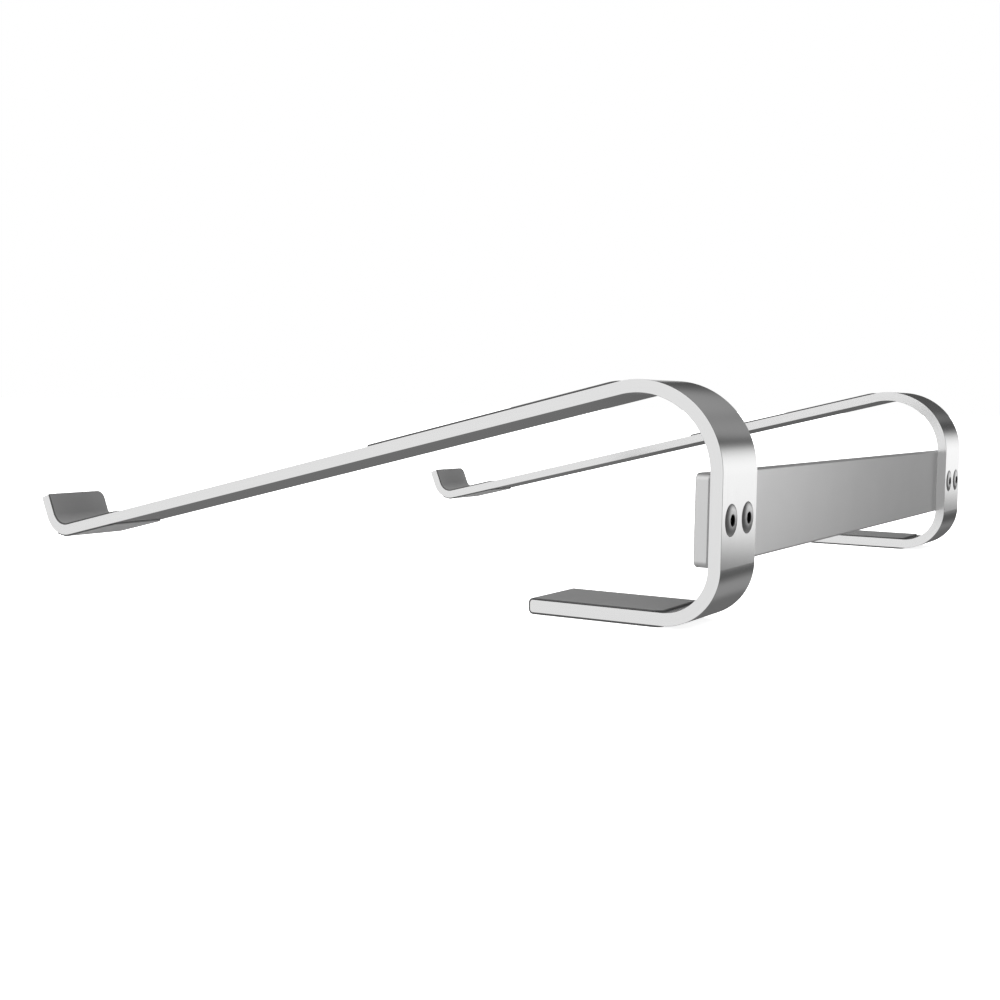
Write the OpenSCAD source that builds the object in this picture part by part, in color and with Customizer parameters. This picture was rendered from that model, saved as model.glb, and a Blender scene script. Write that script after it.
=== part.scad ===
// Laptop stand: two bent flat-strip brackets joined by a flat cross bar, with rubber pads.
// +X runs along the cross bar, -Y points at the user, +Z is up and z = 0 is the desk.

/* [Strip stock] */
// Width of the flat strip that each bracket is bent from
strip_w = 28; // [24:1:36]
// Thickness of the strip
strip_t = 4; // [3:0.5:5]

/* [Bracket profile, along the centre line] */
// Straight length of the foot that lies on the desk
foot_run = 45; // [45:1:60]
// Bend radius between foot and back
foot_bend_r = 16.2; // [12:0.2:20]
// Straight height of the back, where the cross bar is screwed on
back_run = 27.2; // [27.2:0.2:40]
// Bend radius between back and arm
top_bend_r = 25.8; // [20:0.2:32]
// Slope of the arm, front end down
arm_slope = 13.6; // [8:0.1:14]
// Straight length of the arm
arm_run = 245; // [200:1:250]
// Bend radius between arm and hook
hook_bend_r = 8.4; // [7:0.2:12]
// Angle that the hook is turned up from the arm
hook_turn = 81.4; // [70:0.2:90]
// Straight length of the hook above its bend
hook_run = 8.2; // [6:0.2:16]
// Corner radius of the hook's top end, on its left side only
hook_corner_r = 3; // [1:0.5:5]
// Radius of the two edges across the foot's tip
tip_r = 1.1; // [0.5:0.1:1.5]

/* [Cross bar] */
// Distance between the middles of the two brackets
bracket_gap = 277; // [200:1:320]
// Height of the bar
bar_h = 28; // [26:1:28]
// Thickness of the bar
bar_t = 4.8; // [4:0.1:6]
// Corner radius of the bar's ends
bar_corner_r = 2.2; // [1.4:0.1:5]
// Size of the 45 degree cut along the bar's edges
bar_edge_cut = 0.8; // [0.8:0.1:1.2]
// Height of the bar's middle above the start of the straight back
bar_rise = 14; // [13.2:0.1:14]

/* [Screws] */
// Distance between the two screws of a bracket
screw_gap = 13.4; // [12:0.2:16]
// Diameter of the screw's thread
screw_d = 5; // [4:0.5:5]
// Diameter of the countersunk head
head_d = 9.5; // [9:0.1:10.4]
// Height of the head's shallow dome above the bracket
head_rise = 0.6; // [0.2:0.1:1]
// Width across the flats of the hexagon socket
socket_af = 3; // [2.5:0.5:3]
// Depth of the hexagon socket
socket_depth = 2.2; // [1.5:0.1:2.4]

/* [Rubber pads] */
// Thickness of the pads
pad_t = 0.6; // [0.5:0.1:1.5]
// Strip left bare along each side of a pad
pad_margin = 0.25; // [0.2:0.05:2]
// Corner radius of the pads
pad_corner_r = 3; // [1:0.5:5]
// Gap between the top bend and the arm pad
arm_pad_start = 1; // [0.5:0.5:10]
// Length of the pad along the top of the arm
arm_pad_len = 96; // [60:1:120]
// Length of the hook pad along the arm, behind the hook's bend
hook_pad_len = 26; // [15:1:40]
// Length of the front rest pad under the arm
rest_pad_len = 24; // [12:1:40]
// Angle that the front rest pad wraps round the outside of the hook's bend
rest_pad_wrap = 36; // [30:1:60]
// Length of the foot pad, above and below the foot
foot_pad_len = 44.6; // [30:0.2:44.8]

/* [Hidden] */

$fn = 96;
corner_fn = 32;
dome_fn = 360;
hex_half_side = 30;
facet_angle = 3;
right_angle = 90;
half_turn = 180;
left = -1;
right = 1;
cut_past = 1;
cut_depth = 4 * strip_t;
hair = 0.02;

metal = [0.84, 0.84, 0.85];
rubber = [0.36, 0.36, 0.37];
steel = [0.62, 0.62, 0.63];

// A station is a point of the strip's centre line and its heading: [y, z, heading].
// The heading is 0 towards +Y and grows as the strip turns up, so the foot starts with 0.
function run(s, len) = [s.x + len * cos(s.z), s.y + len * sin(s.z), s.z];
function turn(s, r, angle) =
    let (side = sign(angle), h = s.z + angle)
    [s.x + side * r * (sin(h) - sin(s.z)), s.y - side * r * (cos(h) - cos(s.z)), h];
function bend(s, r, angle) =
    let (n = ceil(abs(angle) / facet_angle))
    [for (i = [0:n]) turn(s, r, angle * i / n)];
function about_turn(s) = [s.x, s.y, s.z + half_turn];

// The line through the stations, raised to the inner side of the C (lift > 0) or the outer side
function face(line, lift) = [for (s = line) [s.x - lift * sin(s.z), s.y + lift * cos(s.z)]];
function reversed(list) = [for (i = [len(list) - 1:-1:0]) list[i]];

// Where each stretch of the bracket starts and ends, for a foot tip at any place
top_turn = right_angle + arm_slope;
function foot_end(tip) = run(tip, foot_run);
function back_start(tip) = turn(foot_end(tip), foot_bend_r, right_angle);
function back_end(tip) = run(back_start(tip), back_run);
function arm_start(tip) = turn(back_end(tip), top_bend_r, top_turn);
function arm_end(tip) = run(arm_start(tip), arm_run);
function hook_start(tip) = turn(arm_end(tip), hook_bend_r, -hook_turn);
function hook_end(tip) = run(hook_start(tip), hook_run);

// The frame's origin is the middle of the footprint: from the hook's front to the screw heads
outer = -strip_t / 2;
inner = strip_t / 2;
front_y = face([hook_end([0, 0, 0])], inner)[0].x;
rear_y = face([back_start([0, 0, 0])], outer)[0].x;
tip = [-(front_y + rear_y + head_rise) / 2, pad_t + strip_t / 2, 0];

pad_w = strip_w - 2 * pad_margin;
outer_pad = outer - pad_t;
inner_pad = inner + pad_t;

// The joint: the bar lies against the front of the backs
joint_y = tip.x + rear_y;
joint_z = back_start(tip).y + bar_rise;
bar_l = bracket_gap + strip_w;
bar_y = joint_y - strip_t - bar_t / 2;

// Screw and its holes
hole_slack = 0.25;
hole_d = screw_d + 2 * hole_slack;
mouth_slack = 0.15;
mouth_d = head_d + 2 * mouth_slack;
thread_slack = 0.05;
sink_depth = (head_d - screw_d) / 2;
end_short = 0.4;
screw_l = strip_t + bar_t - end_short;
screw_point = 0.5;
dome_r = (head_d * head_d / 4 + head_rise * head_rise) / (2 * head_rise);

// A rectangle with round corners, centred on the origin
module round_rect(x, y, r) {
    square([x, y - 2 * r], center = true);
    square([x - 2 * r, y], center = true);
    for (i = [-1, 1], j = [-1, 1])
        translate([i * (x / 2 - r), j * (y / 2 - r)])
            circle(r, $fn = corner_fn);
}

// A rectangle with its corners cut off at 45 degrees, centred on the origin
module cut_rect(x, y, c) {
    polygon([
        for (q = [[1, 1], [-1, 1], [-1, -1], [1, -1]], along_x = [0, 1])
            let (c_first = along_x == (q.x * q.y > 0 ? 0 : 1))
            [q.x * (x / 2 - (c_first ? 0 : c)), q.y * (y / 2 - (c_first ? c : 0))]
    ]);
}

// Turns a drawing of [y, z] points into a slab that is centred on x = 0
module side_view(width) {
    rotate([right_angle, 0, right_angle]) linear_extrude(width, center = true) children();
}

// A layer of the strip or of a pad: follows the line between two lifts
module layer(line, low, high, width) {
    side_view(width) polygon(concat(face(line, low), reversed(face(line, high))));
}

// What is cut off to round the corner of two edges that run towards x_side and y_side
module corner_cut(x_side, y_side, r) {
    reach = r + cut_past;
    difference() {
        translate([x_side < 0 ? -reach : 0, y_side < 0 ? -reach : 0]) square(reach);
        circle(r + hair, $fn = corner_fn);
    }
}

// What is cut off one corner of an end, at a station that faces out of that end
module end_corner(s, width, side, r) {
    translate([0, s.x, s.y])
        rotate([s.z, 0, 0])
            linear_extrude(cut_depth, center = true)
                translate([side * (width / 2 - r), -r]) corner_cut(side, 1, r);
}
module end_corners(s, width, r) {
    for (side = [left, right]) end_corner(s, width, side, r);
}

// Places of the brackets and of their screws, with +Z along the screw and z = 0 on the rear face
module at_bracket(side) {
    translate([side * bracket_gap / 2, 0, 0]) children();
}
module at_screws(side) {
    for (i = [-1, 1])
        translate([side * bracket_gap / 2 + i * screw_gap / 2, joint_y, joint_z])
            rotate([right_angle, 0, 0])
                children();
}

// Bracket: one strip bent into foot, back, arm and hook, with two countersunk holes
module bracket(side) {
    line = concat(
        [tip],
        bend(foot_end(tip), foot_bend_r, right_angle),
        bend(back_end(tip), top_bend_r, top_turn),
        bend(arm_end(tip), hook_bend_r, -hook_turn),
        [hook_end(tip)]);
    color(metal) difference() {
        at_bracket(side) layer(line, outer, inner, strip_w);
        at_bracket(side) end_corner(hook_end(tip), strip_w, left, hook_corner_r);
        at_bracket(side) tip_edges();
        at_screws(side) translate([0, 0, -cut_past]) cylinder(d = hole_d, h = strip_t + 2 * cut_past);
        at_screws(side) countersink();
    }
}
module tip_edges() {
    side_view(strip_w + 2 * cut_past)
        for (up = [-1, 1])
            translate([tip.x + tip_r, tip.y + up * (strip_t / 2 - tip_r)]) corner_cut(-1, up, tip_r);
}
module countersink() {
    cylinder(d1 = mouth_d, d2 = hole_d, h = (mouth_d - hole_d) / 2);
    translate([0, 0, -cut_past]) cylinder(d = mouth_d, h = cut_past);
}

// Flat bar with four tapped holes
module cross_bar() {
    color(metal) difference() {
        translate([0, bar_y, joint_z]) bar_blank();
        for (side = [left, right])
            at_screws(side) cylinder(d = screw_d, h = strip_t + bar_t + cut_past);
    }
}
module bar_blank() {
    intersection() {
        rotate([right_angle, 0, 0]) linear_extrude(bar_t, center = true) round_rect(bar_l, bar_h, bar_corner_r);
        side_view(bar_l) cut_rect(bar_t, bar_h, bar_edge_cut);
        linear_extrude(bar_h, center = true) cut_rect(bar_l, bar_t, bar_edge_cut);
    }
}

// Countersunk screw with a shallow domed head and a hexagon socket
module screw() {
    shank_d = screw_d - 2 * thread_slack;
    difference() {
        union() {
            rotate_extrude() head_dome();
            cylinder(d1 = head_d, d2 = shank_d, h = sink_depth);
            cylinder(d = shank_d, h = screw_l - screw_point);
            translate([0, 0, screw_l - screw_point])
                cylinder(d1 = shank_d, d2 = shank_d - 2 * screw_point, h = screw_point);
        }
        translate([0, 0, -head_rise - cut_past])
            cylinder(d = socket_af / cos(hex_half_side), h = head_rise + cut_past + socket_depth, $fn = 6);
    }
}
module head_dome() {
    intersection() {
        translate([0, dome_r - head_rise]) circle(dome_r, $fn = dome_fn);
        translate([0, -head_rise]) square([head_d / 2, head_rise]);
    }
}
module screws() {
    color(steel)
        for (side = [left, right])
            at_screws(side) screw();
}

// Pad along the rear part of the arm's top, under the laptop
module arm_pad(side) {
    start = run(arm_start(tip), arm_pad_start);
    end = run(start, arm_pad_len);
    color(rubber) at_bracket(side) difference() {
        layer([start, end], outer_pad, outer, pad_w);
        end_corners(about_turn(start), pad_w, pad_corner_r);
        end_corners(end, pad_w, pad_corner_r);
    }
}

// Pad that lies on the arm, turns up with the strip and covers the hook's inner face
module hook_pad(side) {
    start = run(arm_end(tip), -hook_pad_len);
    line = concat([start], bend(arm_end(tip), hook_bend_r, -hook_turn), [hook_end(tip)]);
    color(rubber) at_bracket(side) difference() {
        layer(line, outer_pad, outer, pad_w);
        end_corners(about_turn(start), pad_w, pad_corner_r);
        end_corner(hook_end(tip), pad_w, left, pad_corner_r);
    }
}

// Pad under the front end, which meets the desk when the stand tips forward
module front_rest_pad(side) {
    start = run(arm_end(tip), -rest_pad_len);
    color(rubber) at_bracket(side) difference() {
        layer(concat([start], bend(arm_end(tip), hook_bend_r, -rest_pad_wrap)), inner, inner_pad, pad_w);
        end_corners(about_turn(start), pad_w, pad_corner_r);
    }
}

// Pad folded round the foot's tip, so that it covers the foot above and below
module foot_pad(side) {
    end = run(tip, foot_pad_len);
    color(rubber) at_bracket(side) difference() {
        side_view(pad_w) translate([tip.x, tip.y]) foot_pad_fold();
        end_corner(end, pad_w, right, pad_corner_r);
    }
}
module foot_pad_fold() {
    fold_l = 2 * foot_pad_len;
    intersection() {
        difference() {
            translate([foot_pad_len - pad_t, 0])
                round_rect(fold_l, strip_t + 2 * pad_t, tip_r + pad_t);
            translate([foot_pad_len, 0])
                round_rect(fold_l, strip_t, tip_r);
        }
        translate([-pad_t, -strip_t])
            square([foot_pad_len + pad_t, 2 * strip_t]);
    }
}

bracket(left);  // bracket_left
bracket(right);  // bracket_right
cross_bar();
screws();
arm_pad(left);  // arm_pad_left
arm_pad(right);  // arm_pad_right
hook_pad(left);  // hook_pad_left
hook_pad(right);  // hook_pad_right
front_rest_pad(left);  // front_rest_pad_left
front_rest_pad(right);  // front_rest_pad_right
foot_pad(left);  // foot_pad_left
foot_pad(right);  // foot_pad_right
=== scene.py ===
# %% [markdown]
# # A laptop stand of bent aluminium strip
#
# Two identical brackets are bent from flat strip: foot, back, sloping arm and a small upturned hook.
# A flat cross bar joins the two backs, and thin rubber pads lie where the stand meets the desk and
# the laptop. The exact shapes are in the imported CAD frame. This lesson makes the same pieces again
# with softly rounded edges and real finishes, and puts each one on its CAD node's place.

# %% Load the frame
import math

import bpy
from mathutils import Matrix, Vector


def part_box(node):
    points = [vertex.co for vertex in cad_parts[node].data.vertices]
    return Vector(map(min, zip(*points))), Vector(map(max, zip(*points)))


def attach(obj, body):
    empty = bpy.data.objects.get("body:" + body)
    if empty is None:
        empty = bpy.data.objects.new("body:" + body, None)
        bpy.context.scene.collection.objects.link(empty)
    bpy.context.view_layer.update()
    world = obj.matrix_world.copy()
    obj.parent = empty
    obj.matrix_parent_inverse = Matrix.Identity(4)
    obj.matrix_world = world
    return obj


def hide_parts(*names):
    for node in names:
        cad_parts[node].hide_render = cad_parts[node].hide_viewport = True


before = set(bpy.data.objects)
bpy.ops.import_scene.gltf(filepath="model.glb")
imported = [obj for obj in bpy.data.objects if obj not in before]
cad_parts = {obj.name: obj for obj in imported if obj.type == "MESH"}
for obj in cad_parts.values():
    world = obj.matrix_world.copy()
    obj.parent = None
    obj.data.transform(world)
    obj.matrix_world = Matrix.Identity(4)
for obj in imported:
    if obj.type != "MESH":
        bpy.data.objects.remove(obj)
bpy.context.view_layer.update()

MM = 0.001

# %% [markdown]
# ## The centre line of the strip
#
# A real bracket starts as a flat bar that a press bends four times, and nothing but the bends gives
# it its shape. The same recipe works in Blender: one list says how far the strip runs straight and
# how it turns, and every strip and pad follows that list. Drawing four profiles by hand would also
# work, but then a pad could drift off the metal it is glued to. A point of the line is kept as
# (distance along the strip, y, z, heading), with heading 0 towards +Y.

# %% Sizes that are read from the frame
right_low, right_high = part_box("bracket_right")
strip_w = right_high.x - right_low.x
bracket_x = (right_high.x + right_low.x) / 2
rear_y = right_high.y
strip_t = 4 * MM
inner, outer = strip_t / 2, -strip_t / 2
print(f"strip {strip_w / MM:.1f} x {strip_t / MM:.1f} mm, brackets at x = +-{bracket_x / MM:.1f} mm")

# %% Straight runs and bends
BEND_STEP = math.radians(2)


def straight(line, length):
    along, y, z, heading = line[-1]
    line.append((along + length, y + length * math.cos(heading), z + length * math.sin(heading), heading))
    return line[-1][0]


def bend(line, radius, degrees):
    turn, side = math.radians(degrees), math.copysign(1, degrees)
    along, y0, z0, first = line[-1]
    steps = math.ceil(abs(turn) / BEND_STEP)
    for step in range(1, steps + 1):
        heading = first + turn * step / steps
        y = y0 + side * radius * (math.sin(heading) - math.sin(first))
        z = z0 - side * radius * (math.cos(heading) - math.cos(first))
        along += math.hypot(y - line[-1][1], z - line[-1][2])
        line.append((along, y, z, heading))
    return along


# %% The bracket's line, from the foot's tip to the top of the hook
foot_run, foot_bend_r, back_run = 45 * MM, 16.2 * MM, 27.2 * MM
top_bend_r, arm_slope, arm_run = 25.8 * MM, 13.6, 245 * MM
hook_bend_r, hook_turn, hook_run = 8.4 * MM, 81.4, 8.2 * MM

tip_y = rear_y - inner - foot_bend_r - foot_run
tip_z = right_low.z + inner
strip_line = [(0.0, tip_y, tip_z, 0.0)]
straight(strip_line, foot_run)
back_start = bend(strip_line, foot_bend_r, 90)
straight(strip_line, back_run)
arm_start = bend(strip_line, top_bend_r, 90 + arm_slope)
arm_end = straight(strip_line, arm_run)
bend(strip_line, hook_bend_r, -hook_turn)
hook_end = straight(strip_line, hook_run)
print(f"the strip is {hook_end / MM:.1f} mm long before bending, in {len(strip_line)} stations")

# %% [markdown]
# ## Flat blanks with rounded edges
#
# Strip, bar and pads are all flat blanks at first. A cube with a Bevel modifier would give
# the rounded edges, but not the rounded plan corners together with cross cuts exactly where the
# strip bends. So each blank is built from stacked outlines: every outline is a rectangle with round
# corners, a little smaller near the two faces, which rounds the edge. In a blank X is the width, Y
# the distance along the line and Z the height above the centre line. The UV map keeps the distance
# along and across in metres, so that grain can follow the metal round every bend.

# %% A blank from stacked outlines
CORNER_STEPS, EDGE_STEPS = 10, 5


def rounding(depth, r):
    """How far a surface draws back at this depth below a face, when the edge has radius r."""
    return r - math.sqrt(depth * (2 * r - depth)) if depth < r else 0.0


def half_outline(start, end, half_w, corners, insets, stations):
    (start_r, end_r), (side_in, start_in, end_in) = corners, insets
    a_r, b_r = start_r - side_in, end_r - side_in
    quarter = [math.radians(90 * i / CORNER_STEPS) for i in range(CORNER_STEPS + 1)]
    edge = half_w - side_in
    side = [(start + start_in + a_r * (1 - math.cos(a)), edge - a_r * (1 - math.sin(a))) for a in quarter]
    side += [(s, edge) for s in stations]
    side += [(end - end_in - b_r * (1 - math.sin(a)), edge - b_r * (1 - math.cos(a))) for a in quarter]
    return side


def mesh_object(name, points, faces, uvs):
    mesh = bpy.data.meshes.new(name)
    mesh.from_pydata(points, [], faces)
    layer = mesh.uv_layers.new(name="grain")
    for loop in mesh.loops:
        layer.data[loop.index].uv = uvs[loop.vertex_index]
    mesh.shade_smooth()
    made = bpy.data.objects.new(name, mesh)
    bpy.context.scene.collection.objects.link(made)
    return made


def blank(name, x, start, end, width, low, high, edge_r, left, right, line=(), start_r=0.0):
    """left and right are the corner radii (at the start, at the end) on the -X and the +X side.
    start_r rounds the two edges across the start, where it is more than edge_r."""
    angles = [math.radians(90 * step / EDGE_STEPS) for step in range(EDGE_STEPS + 1)]
    radii = edge_r, max(start_r, edge_r)
    depths = sorted({round(r * (1 - math.cos(a)), 9) for r in radii for a in angles})
    levels = [(low + d, d) for d in depths] + [(high - d, d) for d in reversed(depths)]
    widest = max(*left, *right, start_r)
    stations = [station[0] for station in line if start + widest < station[0] < end - widest]
    points, uvs = [], []
    for n, depth in levels:
        side_in = rounding(depth, edge_r)
        insets = side_in, max(side_in, rounding(depth, start_r)), side_in
        plus = half_outline(start, end, width / 2, right, insets, stations)
        minus = half_outline(start, end, width / 2, left, insets, stations)
        ring = [(h, s) for s, h in plus] + [(-h, s) for s, h in reversed(minus)]
        points += [(x + h, s, n) for h, s in ring]
        uvs += [(s, h + n) for h, s in ring]
    size, half = len(ring), len(plus)
    faces = []
    for k in range(len(levels) - 1):
        for i in range(size):
            j = (i + 1) % size
            faces.append((k * size + i, k * size + j, (k + 1) * size + j, (k + 1) * size + i))
    top = (len(levels) - 1) * size
    for i in range(half - 1):
        a, b, c, d = i, i + 1, size - 2 - i, size - 1 - i
        faces.append((d, c, b, a))
        faces.append((top + a, top + b, top + c, top + d))
    return mesh_object(name, points, faces, uvs)


# %% [markdown]
# ## Round parts: screws and drill tools
#
# A screw is a turned part, and so is the hole it sits in. The Screw modifier can spin a profile, but
# a hexagon socket and a thread aren't round. Here a row of the profile is a height and a radius, and
# the radius may be a rule that depends on the angle: a hexagon for the socket, a slow spiral for the
# thread. The UV map holds the angle and the radius, for the fine rings that a lathe leaves.

# %% A turned part from rows of height and radius
AROUND = 48


def turned(name, rows, x=0.0, y=0.0, flip=False):
    """The first and last rows are points on the axis. flip turns the faces round."""
    first, last = rows[0][0], rows[-1][0]
    points, uvs = [(x, y, first)], [(0, 0)]
    for z, radius in rows[1:-1]:
        for i in range(AROUND):
            angle = 2 * math.pi * i / AROUND
            r = radius(angle, z) if callable(radius) else radius
            points.append((x + r * math.cos(angle), y + r * math.sin(angle), z))
            uvs.append((i / AROUND, r))
    points.append((x, y, last))
    uvs.append((0, 0))
    end, faces = len(points) - 1, []
    for i in range(AROUND):
        j = (i + 1) % AROUND
        faces.append((0, 1 + i, 1 + j))
        for k in range(len(rows) - 3):
            a, b = 1 + k * AROUND, 1 + (k + 1) * AROUND
            faces.append((a + i, b + i, b + j, a + j))
        faces.append((end - AROUND + i, end, end - AROUND + j))
    if flip:
        faces = [face[::-1] for face in faces]
    return mesh_object(name, points, faces, uvs)


def join(name, parts):
    with bpy.context.temp_override(active_object=parts[0], selected_editable_objects=parts):
        bpy.ops.object.join()
    parts[0].name = name
    return parts[0]


# %% [markdown]
# ## A tree that bends a blank along a line
#
# The Curve modifier bends a mesh too, but it measures along the object and is sensitive to where the
# object sits. A small Geometry Nodes tree says exactly what is wanted: take each point's Y as a
# distance, look up that place and direction on the line, and lift the point by its Z at right angles
# to the line. The same tree then marks sharp edges, which are only the rims of drilled holes.

# %% Helpers for building node trees
def add(tree, kind, settings=None, **inputs):
    """A new node. An input is given by its name, or as in0, in1 and so on by its number."""
    node = tree.nodes.new(kind)
    for key, value in (settings or {}).items():
        setattr(node, key, value)
    for key, value in inputs.items():
        by_number = key.startswith("in") and key[2:].isdigit()
        socket = node.inputs[int(key[2:])] if by_number else node.inputs[key]
        if isinstance(value, bpy.types.NodeSocket):
            tree.links.new(value, socket)
        else:
            socket.default_value = value
    return node


def new_tree(name, sockets):
    tree = bpy.data.node_groups.new(name, "GeometryNodeTree")
    for label, kind in sockets:
        tree.interface.new_socket(label, in_out="INPUT", socket_type=kind)
    tree.interface.new_socket("Geometry", in_out="OUTPUT", socket_type="NodeSocketGeometry")
    return tree, tree.nodes.new("NodeGroupInput").outputs


def finish_tree(tree, geometry, material, sharp_angle):
    angle = add(tree, "GeometryNodeInputMeshEdgeAngle").outputs[0]
    is_sharp = add(tree, "FunctionNodeCompare", {"operation": "GREATER_THAN"}, in0=angle, in1=sharp_angle)
    marked = add(tree, "GeometryNodeSetShadeSmooth", {"domain": "EDGE"}, in0=geometry,
                 in1=is_sharp.outputs[0], in2=False)
    real = add(tree, "GeometryNodeRealizeInstances", in0=marked.outputs[0])
    done = add(tree, "GeometryNodeSetMaterial", in0=real.outputs[0], Material=material)
    output = tree.nodes.new("NodeGroupOutput")
    tree.links.new(done.outputs[0], output.inputs[0])
    return tree


# %% The bending tree
bend_tree, given = new_tree("bend along a line", [
    ("Blank", "NodeSocketGeometry"), ("Line", "NodeSocketObject"),
    ("Sharp angle", "NodeSocketFloat"), ("Material", "NodeSocketMaterial")])
place = add(bend_tree, "ShaderNodeSeparateXYZ",
            in0=add(bend_tree, "GeometryNodeInputPosition").outputs[0]).outputs
line_shape = add(bend_tree, "GeometryNodeObjectInfo", in0=given["Line"]).outputs["Geometry"]
found = add(bend_tree, "GeometryNodeSampleCurve", {"mode": "LENGTH", "use_all_curves": True},
            Curves=line_shape, Length=place["Y"]).outputs
across = (1.0, 0.0, 0.0)
upwards = add(bend_tree, "ShaderNodeVectorMath", {"operation": "CROSS_PRODUCT"},
              in0=across, in1=found["Tangent"])
lift = add(bend_tree, "ShaderNodeVectorMath", {"operation": "SCALE"},
           in0=upwards.outputs[0], Scale=place["Z"])
aside = add(bend_tree, "ShaderNodeCombineXYZ", X=place["X"])
raised = add(bend_tree, "ShaderNodeVectorMath", {"operation": "ADD"},
             in0=found["Position"], in1=lift.outputs[0])
target = add(bend_tree, "ShaderNodeVectorMath", {"operation": "ADD"},
             in0=raised.outputs[0], in1=aside.outputs[0])
bent = add(bend_tree, "GeometryNodeSetPosition", Geometry=given["Blank"], Position=target.outputs[0])
finish_tree(bend_tree, bent.outputs[0], given["Material"], given["Sharp angle"])
print(f"tree '{bend_tree.name}' has {len(bend_tree.nodes)} nodes")

# %% A line as a curve object, which the tree reads


def curve_of(name, line):
    data = bpy.data.curves.new(name, "CURVE")
    data.dimensions = "3D"
    spline = data.splines.new("POLY")
    spline.points.add(len(line) - 1)
    for point, (_, y, z, _) in zip(spline.points, line):
        point.co = (0, y, z, 1)
    made = bpy.data.objects.new(name, data)
    bpy.context.scene.collection.objects.link(made)
    return made


strip_curve = curve_of("strip_line", strip_line)

# %% Modifiers on a blank, and the plain mesh that they leave
SHARP = math.radians(28)


def with_tree(obj, tree, **values):
    modifier = obj.modifiers.new("tree", "NODES")
    modifier.node_group = tree
    for item in tree.interface.items_tree:
        key = item.name.replace(" ", "_").lower()
        if item.in_out == "INPUT" and key in values:
            modifier[item.identifier] = values[key]


def drill(obj, tool):
    cut = obj.modifiers.new("drill", "BOOLEAN")
    cut.operation, cut.solver, cut.object = "DIFFERENCE", "EXACT", tool


def settle(obj, material):
    obj.modifiers.new("face normals", "WEIGHTED_NORMAL").keep_sharp = True
    evaluated = obj.evaluated_get(bpy.context.evaluated_depsgraph_get())
    mesh = bpy.data.meshes.new_from_object(evaluated)
    mesh.name = obj.name
    obj.modifiers.clear()
    obj.data = mesh
    mesh.materials.clear()
    mesh.materials.append(material)
    low = [min(v.co[i] for v in mesh.vertices) / MM for i in range(3)]
    high = [max(v.co[i] for v in mesh.vertices) / MM for i in range(3)]
    print(f"{obj.name}: {len(mesh.polygons)} faces, from "
          f"({low[0]:.1f}, {low[1]:.1f}, {low[2]:.1f}) to ({high[0]:.1f}, {high[1]:.1f}, {high[2]:.1f}) mm")


# %% [markdown]
# ## Finishes
#
# The strip is brushed along its length and then anodised, so it shows fine lines that follow every
# bend. The cross bar is satin: blasted with fine beads, without a direction. The rubber is matt and
# slightly pebbled, and the screws are turned steel. Image textures would do, but noise that reads a
# UV map in metres stays sharp at any distance and needs no files.

# %% Small helpers for shader trees


def grey(value):
    return value, value, value, 1


def new_material(name, metallic, roughness, colour):
    material = bpy.data.materials.new(name)
    material.use_nodes = True
    shader = material.node_tree.nodes["Principled BSDF"]
    shader.inputs["Metallic"].default_value = metallic
    shader.inputs["Roughness"].default_value = roughness
    shader.inputs["Base Color"].default_value = colour
    return material, material.node_tree, shader.inputs


def noise(tree, vector, scale, detail, stretch=(1, 1, 1)):
    mapped = add(tree, "ShaderNodeMapping", Vector=vector, Scale=stretch)
    return add(tree, "ShaderNodeTexNoise", Vector=mapped.outputs[0], Scale=scale, Detail=detail).outputs[0]


def ramp(tree, factor, low, high, start=0.3, end=0.7):
    """Low up to start, high from end on. Noise stays mostly between 0.3 and 0.7."""
    made = add(tree, "ShaderNodeMapRange", Value=factor)
    for socket, value in zip(("From Min", "From Max", "To Min", "To Max"), (start, end, low, high)):
        made.inputs[socket].default_value = value
    return made.outputs[0]


def shade(tree, factor, first, second):
    """Blend two colours, each a value or a socket, as the factor goes from 0 to 1."""
    mix = add(tree, "ShaderNodeMix", {"data_type": "RGBA"}, in0=factor, in6=first, in7=second)
    return mix.outputs[2]


def relief(tree, sockets, height, depth, strength):
    bump = add(tree, "ShaderNodeBump", Height=height, Distance=depth, Strength=strength)
    tree.links.new(bump.outputs[0], sockets["Normal"])


# %% Brushed aluminium, for the brackets
brushed, tree, sockets = new_material("brushed_aluminium", 1.0, 0.14, grey(0.87))
uv = add(tree, "ShaderNodeUVMap", {"uv_map": "grain"}).outputs[0]
lines = noise(tree, uv, 1.0, 4.0, stretch=(60, 5200, 1))
bands = noise(tree, uv, 1.0, 2.0, stretch=(18, 900, 1))
tree.links.new(shade(tree, bands, grey(0.86), grey(0.89)), sockets["Base Color"])
tree.links.new(ramp(tree, lines, 0.12, 0.17), sockets["Roughness"])
relief(tree, sockets, lines, 0.002 * MM, 0.12)

# %% Satin aluminium, for the cross bar
satin, tree, sockets = new_material("satin_aluminium", 1.0, 0.52, grey(0.8))
where = add(tree, "ShaderNodeTexCoord").outputs["Object"]
beads = noise(tree, where, 2600, 2.0)
clouds = noise(tree, where, 60, 3.0)
tree.links.new(shade(tree, clouds, grey(0.78), grey(0.82)), sockets["Base Color"])
tree.links.new(ramp(tree, beads, 0.49, 0.55), sockets["Roughness"])
relief(tree, sockets, beads, 0.008 * MM, 0.3)

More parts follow.
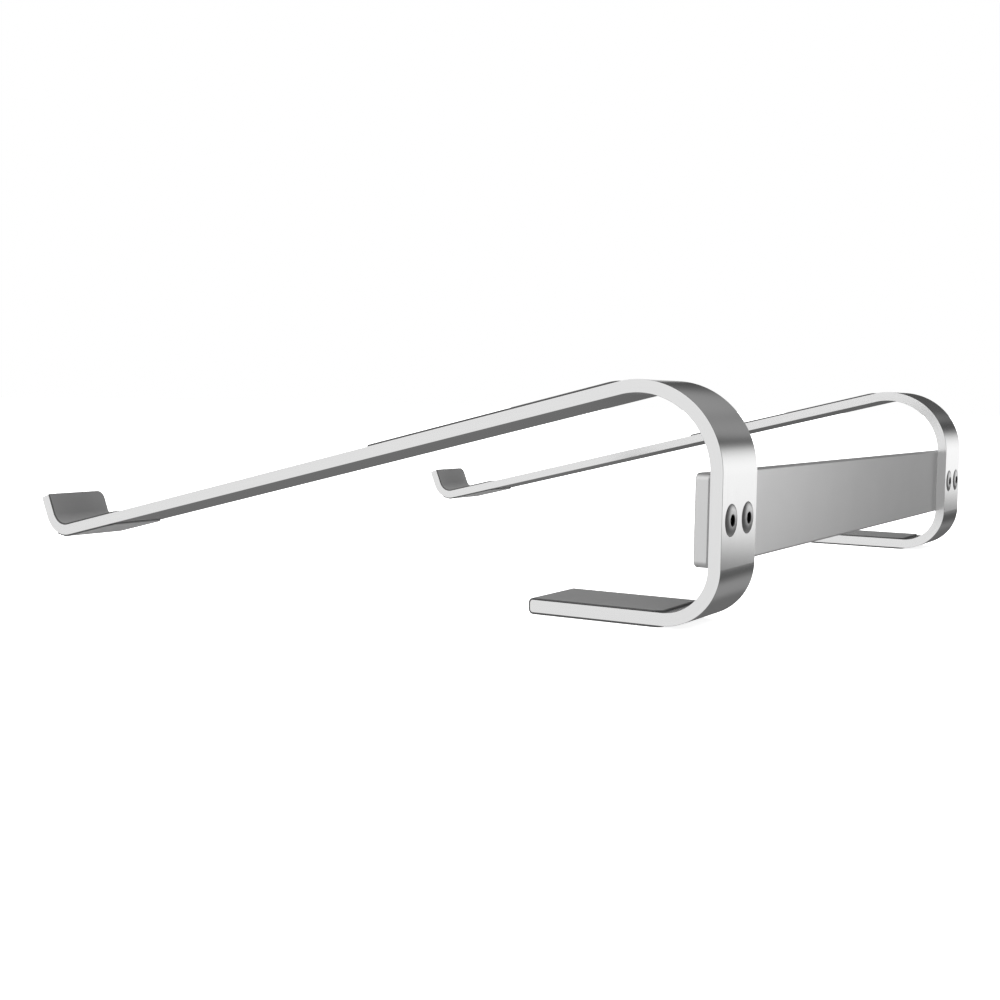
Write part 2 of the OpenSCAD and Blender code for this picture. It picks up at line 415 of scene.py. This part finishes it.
# %% Matt rubber, for the pads, with painted shade: a darker base colour on the sides that face ±X
rubber, tree, sockets = new_material("matt_rubber", 0.0, 0.75, grey(0.16))
texture = add(tree, "ShaderNodeTexCoord").outputs
where = texture["Object"]
pebbles = noise(tree, where, 3200, 2.0)
wiped = noise(tree, where, 90, 4.0)
skin = shade(tree, wiped, grey(0.15), grey(0.175))
facing = add(tree, "ShaderNodeSeparateXYZ", in0=texture["Normal"]).outputs["X"]
sideways = add(tree, "ShaderNodeMath", {"operation": "ABSOLUTE"}, in0=facing).outputs[0]
# painted shade: the more a face turns towards ±X, the darker its base colour
painted_side_shade = ramp(tree, sideways, 0.0, 1.0, start=0.3, end=0.8)
tree.links.new(shade(tree, painted_side_shade, skin, grey(0.05)), sockets["Base Color"])
tree.links.new(ramp(tree, wiped, 0.7, 0.85), sockets["Roughness"])
relief(tree, sockets, pebbles, 0.03 * MM, 0.5)

# %% Turned steel, for the screws, with painted shade inside the hexagon socket
SOCKET_SHADE_R, SHADE_FADED_R = 1.74 * MM, 1.88 * MM
steel, tree, sockets = new_material("turned_steel", 1.0, 0.3, grey(0.64))
uv = add(tree, "ShaderNodeUVMap", {"uv_map": "grain"}).outputs[0]
rings = noise(tree, uv, 1.0, 2.0, stretch=(0.5, 9000, 1))
radius = add(tree, "ShaderNodeSeparateXYZ", in0=uv).outputs["Y"]
# painted shade: inside the socket's radius the base colour turns nearly black
face_outside_shade = ramp(tree, radius, 0.0, 1.0, start=SOCKET_SHADE_R, end=SHADE_FADED_R)
turned_face = shade(tree, rings, grey(0.64), grey(0.86))
tree.links.new(shade(tree, face_outside_shade, grey(0.05), turned_face), sockets["Base Color"])
tree.links.new(ramp(tree, rings, 0.26, 0.36), sockets["Roughness"])
relief(tree, sockets, rings, 0.004 * MM, 0.4)
print("finishes:", [m.name for m in (brushed, satin, rubber, steel)])

# %% [markdown]
# ## The two brackets
#
# Each bracket is one blank, drilled while it is flat and then bent. Drilling first is what a
# workshop does as well, and here it keeps the holes truly round, because the back stays straight.
# The drill is a turned part with the shape of a countersink, a little wider than the screw head.

# %% Where the screws sit
screws_low, screws_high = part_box("screws")
head_r = 4.75 * MM
screw_half_gap = screws_high.x - bracket_x - head_r
joint_z = (screws_low.z + screws_high.z) / 2
joint_along = back_start + joint_z - tip_z - foot_bend_r
screw_xs = [side * bracket_x + way * screw_half_gap for side in (-1, 1) for way in (-1, 1)]
print(f"screws {2 * screw_half_gap / MM:.1f} mm apart, {joint_z / MM:.1f} mm above the desk")

# %% Brackets
HOLE_R, MOUTH_R, PAST = 2.75 * MM, 4.9 * MM, 1 * MM
EDGE_R, TIP_R, HOOK_CORNER_R = 0.12 * MM, 1.1 * MM, 3 * MM
SQUARE = EDGE_R + 0.05 * MM


def countersink(x):
    rows = [(outer - PAST, 0), (outer - PAST, MOUTH_R), (outer, MOUTH_R),
            (outer + MOUTH_R - HOLE_R, HOLE_R), (inner + PAST, HOLE_R), (inner + PAST, 0)]
    return turned("drill", rows, x, joint_along, flip=True)


def bracket(name, side):
    flat = blank(name, side * bracket_x, 0, hook_end, strip_w, outer, inner, EDGE_R,
                 (SQUARE, HOOK_CORNER_R), (SQUARE, SQUARE), strip_line, TIP_R)
    tools = [countersink(x) for x in screw_xs if x * side > 0]
    tool = join(name + "_drill", tools)
    drill(flat, tool)
    with_tree(flat, bend_tree, line=strip_curve, sharp_angle=SHARP, material=brushed)
    settle(flat, brushed)
    bpy.data.objects.remove(tool)
    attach(flat, "root")
    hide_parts(name)


bracket("bracket_left", -1)
bracket("bracket_right", 1)

# %% [markdown]
# ## The cross bar
#
# The bar is a flat piece with round corners, so it is the same kind of blank, only it isn't bent: a
# matrix stands it up against the backs. Its four tapped holes go right through. Its edges are rounded
# more than the strip's, which gives it a thin dark outline, because they mirror the dark of the room.

# %% Standing a flat blank up against the backs
bar_low, bar_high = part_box("cross_bar")
bar_mid = Vector((0, (bar_low.y + bar_high.y) / 2, (bar_low.z + bar_high.z) / 2))
UPRIGHT = Matrix(((0, 1, 0), (0, 0, -1), (-1, 0, 0))).to_4x4()


def stand_up(obj, middle):
    obj.data.transform(Matrix.Translation(middle) @ UPRIGHT)


# %% Cross bar
BAR_CORNER_R, BAR_EDGE_R, TAP_R, LEAD_IN = 2.2 * MM, 0.8 * MM, 2.5 * MM, 0.35 * MM
bar_t = bar_high.y - bar_low.y
front, back = bar_t / 2, -bar_t / 2
tapped = [(back - PAST, 0), (back - PAST, TAP_R), (front - LEAD_IN, TAP_R),
          (front + PAST, TAP_R + LEAD_IN + PAST), (front + PAST, 0)]
bar_corners = (BAR_CORNER_R, BAR_CORNER_R)
bar = blank("cross_bar", 0, bar_low.x, bar_high.x, bar_high.z - bar_low.z, back, front, BAR_EDGE_R,
            bar_corners, bar_corners)
stand_up(bar, bar_mid)
bar_tool = join("cross_bar_drill", [turned("drill", tapped, 0, x, flip=True) for x in screw_xs])
stand_up(bar_tool, bar_mid)
drill(bar, bar_tool)
settle(bar, satin)
bpy.data.objects.remove(bar_tool)
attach(bar, "root")
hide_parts("cross_bar")

# %% [markdown]
# ## Rubber pads
#
# The pads are die-cut sheets with an adhesive back, so they are thin blanks with round corners that
# follow the same line as the strip, just a little further out or in. Only the foot pad has a line of
# its own: it is folded round the tip of the foot and covers it above and below.

# %% Pads that follow the strip, with a round or a crisp corner at each (start, end)
PAD_T, PAD_MARGIN = 0.6 * MM, 0.25 * MM
PAD_W = strip_w - 2 * PAD_MARGIN
PAD_EDGE_R, PAD_CORNER_R = 0.18 * MM, 3 * MM
CRISP = PAD_EDGE_R + 0.1 * MM


def pad(name, side, start, end, low, curve, line, left, right):
    flat = blank(name, side * bracket_x, start, end, PAD_W, low, low + PAD_T, PAD_EDGE_R, left, right, line)
    with_tree(flat, bend_tree, line=curve, sharp_angle=SHARP, material=rubber)
    settle(flat, rubber)
    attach(flat, "root")
    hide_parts(name)


arm_pad_gap, arm_pad_len, hook_pad_len, rest_pad_len = 1 * MM, 96 * MM, 26 * MM, 24 * MM
arm_pad_start = arm_start + arm_pad_gap
rest_wrap = math.radians(36)
rest_end = arm_end + rest_wrap * hook_bend_r
both, rear_only = (PAD_CORNER_R, PAD_CORNER_R), (PAD_CORNER_R, CRISP)
for side, word in ((-1, "left"), (1, "right")):
    pad("arm_pad_" + word, side, arm_pad_start, arm_pad_start + arm_pad_len, outer - PAD_T,
        strip_curve, strip_line, both, both)
    pad("hook_pad_" + word, side, arm_end - hook_pad_len, hook_end, outer - PAD_T, strip_curve, strip_line,
        both, rear_only)
    pad("front_rest_pad_" + word, side, arm_end - rest_pad_len, rest_end, inner, strip_curve, strip_line,
        rear_only, rear_only)

# %% Foot pads, folded round the tip
foot_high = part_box("foot_pad_right")[1]
fold_r = TIP_R + PAD_T / 2
fold_run = foot_high.y - tip_y - TIP_R
fold_line = [(0.0, foot_high.y, foot_high.z - PAD_T / 2, math.pi)]
straight(fold_line, fold_run)
bend(fold_line, fold_r, 90)
straight(fold_line, strip_t - 2 * TIP_R)
bend(fold_line, fold_r, 90)
fold_end = straight(fold_line, fold_run)
fold_curve = curve_of("fold_line", fold_line)
for side, word in ((-1, "left"), (1, "right")):
    pad("foot_pad_" + word, side, 0, fold_end, -PAD_T / 2, fold_curve, fold_line, (CRISP, CRISP), both)

# %% [markdown]
# ## Four screws from one
#
# One countersunk screw is turned, with a shallow dome, a hexagon socket and a real thread. A second
# Geometry Nodes tree puts a copy on each point of a small point cloud and turns each one by its own
# amount, as screws end up when they are tightened. The seed is fixed, so the lesson gives the same
# picture every time.

# %% One screw, with its axis along Z and the metal's face at z = 0
SOCKET_AF, SOCKET_DEPTH, DOME = 3 * MM, 2.2 * MM, screws_high.y - rear_y
SOCKET_CONE, RIM_DROP, RIM_EDGE = 0.4 * MM, 0.25 * MM, 0.03 * MM
RIM_FLAT, RIM_BACK = 0.04 * MM, 0.14 * MM
PITCH, THREAD_DEPTH, THREAD_R = 0.8 * MM, 0.45 * MM, 2.45 * MM
THREAD_START, UNTHREADED, TIP_CHAMFER = 2.7 * MM, 3.2 * MM, 0.4 * MM
TIP_OUTER_R, TIP_INNER_R = 2.0 * MM, 1.7 * MM
ROWS_A_TURN = 8
face_radii = [r * MM for r in (1.9, 2.4, 3.0, 3.6, 4.1, 4.45, 4.65)]
screw_end = screws_high.y - screws_low.y - DOME


def dome_z(radius):
    """Height of the head's face, which is flat in the middle and rounder towards its rim."""
    return DOME * (radius / head_r) ** 4 - DOME


def hexagon(angle, z):
    sixth = math.pi / 3
    return SOCKET_AF / 2 / math.cos((angle + sixth / 2) % sixth - sixth / 2)


def thread(angle, z):
    turn = (z / PITCH - angle / (2 * math.pi)) % 1
    return THREAD_R - THREAD_DEPTH * abs(2 * turn - 1)


def screw_rows():
    rows = [(SOCKET_DEPTH + SOCKET_CONE, 0), (SOCKET_DEPTH, hexagon)]
    rows += [(dome_z(face_radii[0]) + RIM_DROP, hexagon)]
    rows += [(dome_z(r), r) for r in face_radii]
    rows += [(RIM_FLAT, head_r), (RIM_BACK, head_r - RIM_EDGE), (head_r - THREAD_R, THREAD_R)]
    thread_rows = int((screw_end - UNTHREADED) / (PITCH / ROWS_A_TURN))
    rows += [(THREAD_START + i * PITCH / ROWS_A_TURN, thread) for i in range(thread_rows)]
    return rows + [(screw_end - TIP_CHAMFER, TIP_OUTER_R), (screw_end, TIP_INNER_R), (screw_end, 0)]


screw = turned("one_screw", screw_rows())
print(f"one screw is {screw_end / MM:.1f} mm long below its dome of {DOME / MM:.1f} mm")

# %% The tree that places the screws
screw_tree, given = new_tree("screws in their holes", [
    ("Places", "NodeSocketGeometry"), ("Screw", "NodeSocketObject"), ("Tilt", "NodeSocketVector"),
    ("Seed", "NodeSocketInt"), ("Sharp angle", "NodeSocketFloat"), ("Material", "NodeSocketMaterial")])
shape = add(screw_tree, "GeometryNodeObjectInfo", in0=given["Screw"]).outputs["Geometry"]
copies = add(screw_tree, "GeometryNodeInstanceOnPoints", Points=given["Places"], Instance=shape,
             Rotation=given["Tilt"])
spin = add(screw_tree, "FunctionNodeRandomValue", {"data_type": "FLOAT"}, Seed=given["Seed"])
spin.inputs[2].default_value, spin.inputs[3].default_value = 0.0, 2 * math.pi
own_axis = add(screw_tree, "ShaderNodeCombineXYZ", Z=spin.outputs[1])
turned_copies = add(screw_tree, "GeometryNodeRotateInstances", Instances=copies.outputs[0],
                    Rotation=own_axis.outputs[0])
finish_tree(screw_tree, turned_copies.outputs[0], given["Material"], given["Sharp angle"])
print(f"tree '{screw_tree.name}' has {len(screw_tree.nodes)} nodes")

# %% Screws
places = bpy.data.meshes.new("screws")
places.from_pydata([(x, rear_y, joint_z) for x in screw_xs], [], [])
screws = bpy.data.objects.new("screws", places)
bpy.context.scene.collection.objects.link(screws)
with_tree(screws, screw_tree, screw=screw, tilt=(math.pi / 2, 0, 0), seed=5, sharp_angle=SHARP,
          material=steel)
settle(screws, steel)
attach(screws, "root")
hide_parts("screws")
for helper in (screw, strip_curve, fold_curve):
    bpy.data.objects.remove(helper)

# %% [markdown]
# ## Studio
#
# Metal shows its surroundings more than itself, so the room matters as much as the finish. Lamps and
# cards could stand in the scene as objects, but then every view would show them. Here the world is a
# room of soft light that only the pieces see, while the camera sees plain white. Towards -X hangs a
# strip light with a dark band above and below it, which draws the bands on the bent backs. It is
# narrower for the far bracket than for the near one. The rest of that side is dark, with one pale
# patch low towards -Y. The wall at +X is bright and even, and it is dark around the camera, which
# tones down the bar. A very soft sun overhead lights the rubber and the floor, and a small softbox
# lights only the bar. The floor glows, so that it shows hardly any shadow, and it is left out of
# reflections, so that the undersides stay dark and keep their shape. A studio does that with black
# card.

# %% Floor
floor_mesh = bpy.data.meshes.new("floor")
reach, floor_gap = 12.0, 0.05 * MM
floor_mesh.from_pydata([(-reach, -reach, 0), (reach, -reach, 0), (reach, reach, 0), (-reach, reach, 0)],
                       [], [(0, 1, 2, 3)])
floor = bpy.data.objects.new("floor", floor_mesh)
bpy.context.scene.collection.objects.link(floor)
floor.location.z = -floor_gap
floor.visible_glossy = False
pale, tree, sockets = new_material("pale_floor", 0.0, 0.9, grey(0.9))
where = add(tree, "ShaderNodeTexCoord").outputs["Object"]
mottle = noise(tree, where, 40, 3.0)
tree.links.new(shade(tree, mottle, (0.895, 0.895, 0.9, 1), grey(0.91)), sockets["Base Color"])
sockets["Specular IOR Level"].default_value = 0.0
sockets["Emission Color"].default_value = grey(1)
sockets["Emission Strength"].default_value = 0.8
floor_mesh.materials.append(pale)
print(f"floor {2 * reach:.0f} m wide, {floor_gap / MM:.2f} mm below the feet")

# %% World, whose walls depend on the direction in which a ray leaves the stand
world = bpy.data.worlds.new("studio")
bpy.context.scene.world = world
world.use_nodes = True
tree = world.node_tree
surface = tree.nodes["Background"]
direction = add(tree, "ShaderNodeTexCoord").outputs["Generated"]
parts = add(tree, "ShaderNodeSeparateXYZ", in0=direction).outputs


def wall(stops):
    """Brightness by elevation: each stop is (degrees above the horizon, brightness)."""
    height = add(tree, "ShaderNodeMapRange", Value=parts["Z"])
    height.inputs["From Min"].default_value = -1.0
    made = add(tree, "ShaderNodeValToRGB", Fac=height.outputs[0])
    band = made.color_ramp
    while len(band.elements) < len(stops):
        band.elements.new(0.5)
    for element, (degrees, value) in zip(band.elements, stops):
        element.position = (math.sin(math.radians(degrees)) + 1) / 2
        element.color = grey(value)
    return made.outputs[0]


near_strip = wall([(-90, 0.25), (-24, 0.28), (-20, 0.27), (-17.5, 0.15), (-15, 0.09), (-12, 0.1),
                   (-9, 0.13), (-6.7, 0.18), (-5.4, 0.93), (-4.6, 1.06), (2, 1.06), (5.5, 0.95),
                   (8.5, 0.72), (11, 0.3), (13.5, 0.08), (16, 0.06), (18.5, 0.16), (21, 0.3), (90, 0.15)])
far_strip = wall([(-90, 0.2), (-16, 0.28), (-13, 0.26), (-11.5, 0.15), (-9.5, 0.09), (-7.5, 0.1),
                  (-5.6, 0.13), (-4.0, 0.18), (-3.2, 0.93), (-2.6, 1.06), (0, 1.06), (2.8, 0.95),
                  (5, 0.72), (7, 0.3), (8.5, 0.08), (10.5, 0.06), (12, 0.16), (13.5, 0.3), (90, 0.1)])
camera_wall = wall([(-90, 0.08), (-30, 0.09), (30, 0.09), (90, 0.08)])
dark_wall = wall([(-90, 0.15), (-20, 0.15), (-12, 0.13), (0, 0.1), (10, 0.07), (15, 0.09), (18, 0.13),
                  (20.5, 0.3), (28, 0.3), (50, 0.1), (90, 0.1)])
far_wall = wall([(-90, 0.15), (-20, 0.17), (-9, 0.15), (-3, 0.2), (3, 0.75), (20, 0.75), (32, 0.2),
                 (90, 0.1)])
even_wall = wall([(-90, 0.3), (-40, 0.4), (-15, 0.82), (12, 0.88), (20, 1.12), (52, 1.12), (64, 0.2),
                  (90, 0.1)])


def between(value, start, end, first, second):
    """The first wall where the direction's part is below start, and the second above end."""
    blend = add(tree, "ShaderNodeMapRange", {"interpolation_type": "SMOOTHSTEP"}, Value=value)
    blend.inputs["From Min"].default_value, blend.inputs["From Max"].default_value = start, end
    return shade(tree, blend.outputs[0], first, second)


strips = between(parts["Y"], 0.24, 0.32, far_strip, near_strip)
screens = between(parts["Y"], -0.41, -0.36, far_wall, dark_wall)
left_side = between(parts["Y"], 0.02, 0.14, screens, strips)
sides = between(parts["X"], -0.35, 0.35, left_side, even_wall)
behind_left = between(parts["Y"], 0.45, 0.6, sides, camera_wall)
behind_right = between(parts["Y"], 0.3, 0.5, sides, camera_wall)
room = between(parts["X"], 0.0, 0.5, behind_left, behind_right)
camera_sees = add(tree, "ShaderNodeLightPath").outputs["Is Camera Ray"]
tree.links.new(shade(tree, camera_sees, room, grey(1)), surface.inputs["Color"])
print(f"the room's tree has {len(tree.nodes)} nodes")

# %% Soft sun
sun_data = bpy.data.lights.new("overhead", "SUN")
sun_data.energy, sun_data.angle = 3.8, math.radians(120)
sun = bpy.data.objects.new("overhead", sun_data)
sun.visible_glossy = False
bpy.context.scene.collection.objects.link(sun)

# %% Small softbox that lights only the bar, mostly its near end
box_data = bpy.data.lights.new("softbox", "AREA")
box_data.energy, box_data.size = 0.16, 0.12
softbox = bpy.data.objects.new("softbox", box_data)
softbox.location = (0.0, 0.35, 0.06)
near_joint = Vector((bracket_x, rear_y, joint_z))
softbox.rotation_euler = (near_joint - softbox.location).to_track_quat("-Z", "Y").to_euler()
softbox.visible_camera = False
only_bar = bpy.data.collections.new("lit_by_softbox")
only_bar.objects.link(bar)
softbox.light_linking.receiver_collection = only_bar
bpy.context.scene.collection.objects.link(softbox)

# %% [markdown]
# ## Camera
#
# The camera stands low, a hand's breadth above the desk, behind the stand and to its right, and
# looks along the backs towards the hooks. Its roll of one degree is a real camera's, held by hand.

# %% Camera
camera_data = bpy.data.cameras.new("camera")
camera_data.lens, camera_data.sensor_width = 48.85, 36.0
camera_data.clip_start = 0.01
camera = bpy.data.objects.new("camera", camera_data)
bpy.context.scene.collection.objects.link(camera)
stands_at = Vector((0.52057, 0.28808, 0.06665))
looks_along, roll = Vector((-0.8563, -0.5113, -0.0729)), math.radians(0.97)
turn = looks_along.to_track_quat("-Z", "Y").to_matrix() @ Matrix.Rotation(roll, 3, "Z")
camera.matrix_world = Matrix.Translation(stands_at) @ turn.to_4x4()
bpy.context.scene.camera = camera
bpy.context.scene.view_settings.view_transform = "Standard"
print(f"camera {stands_at.z / MM:.0f} mm above the desk, lens {camera_data.lens:.1f} mm")
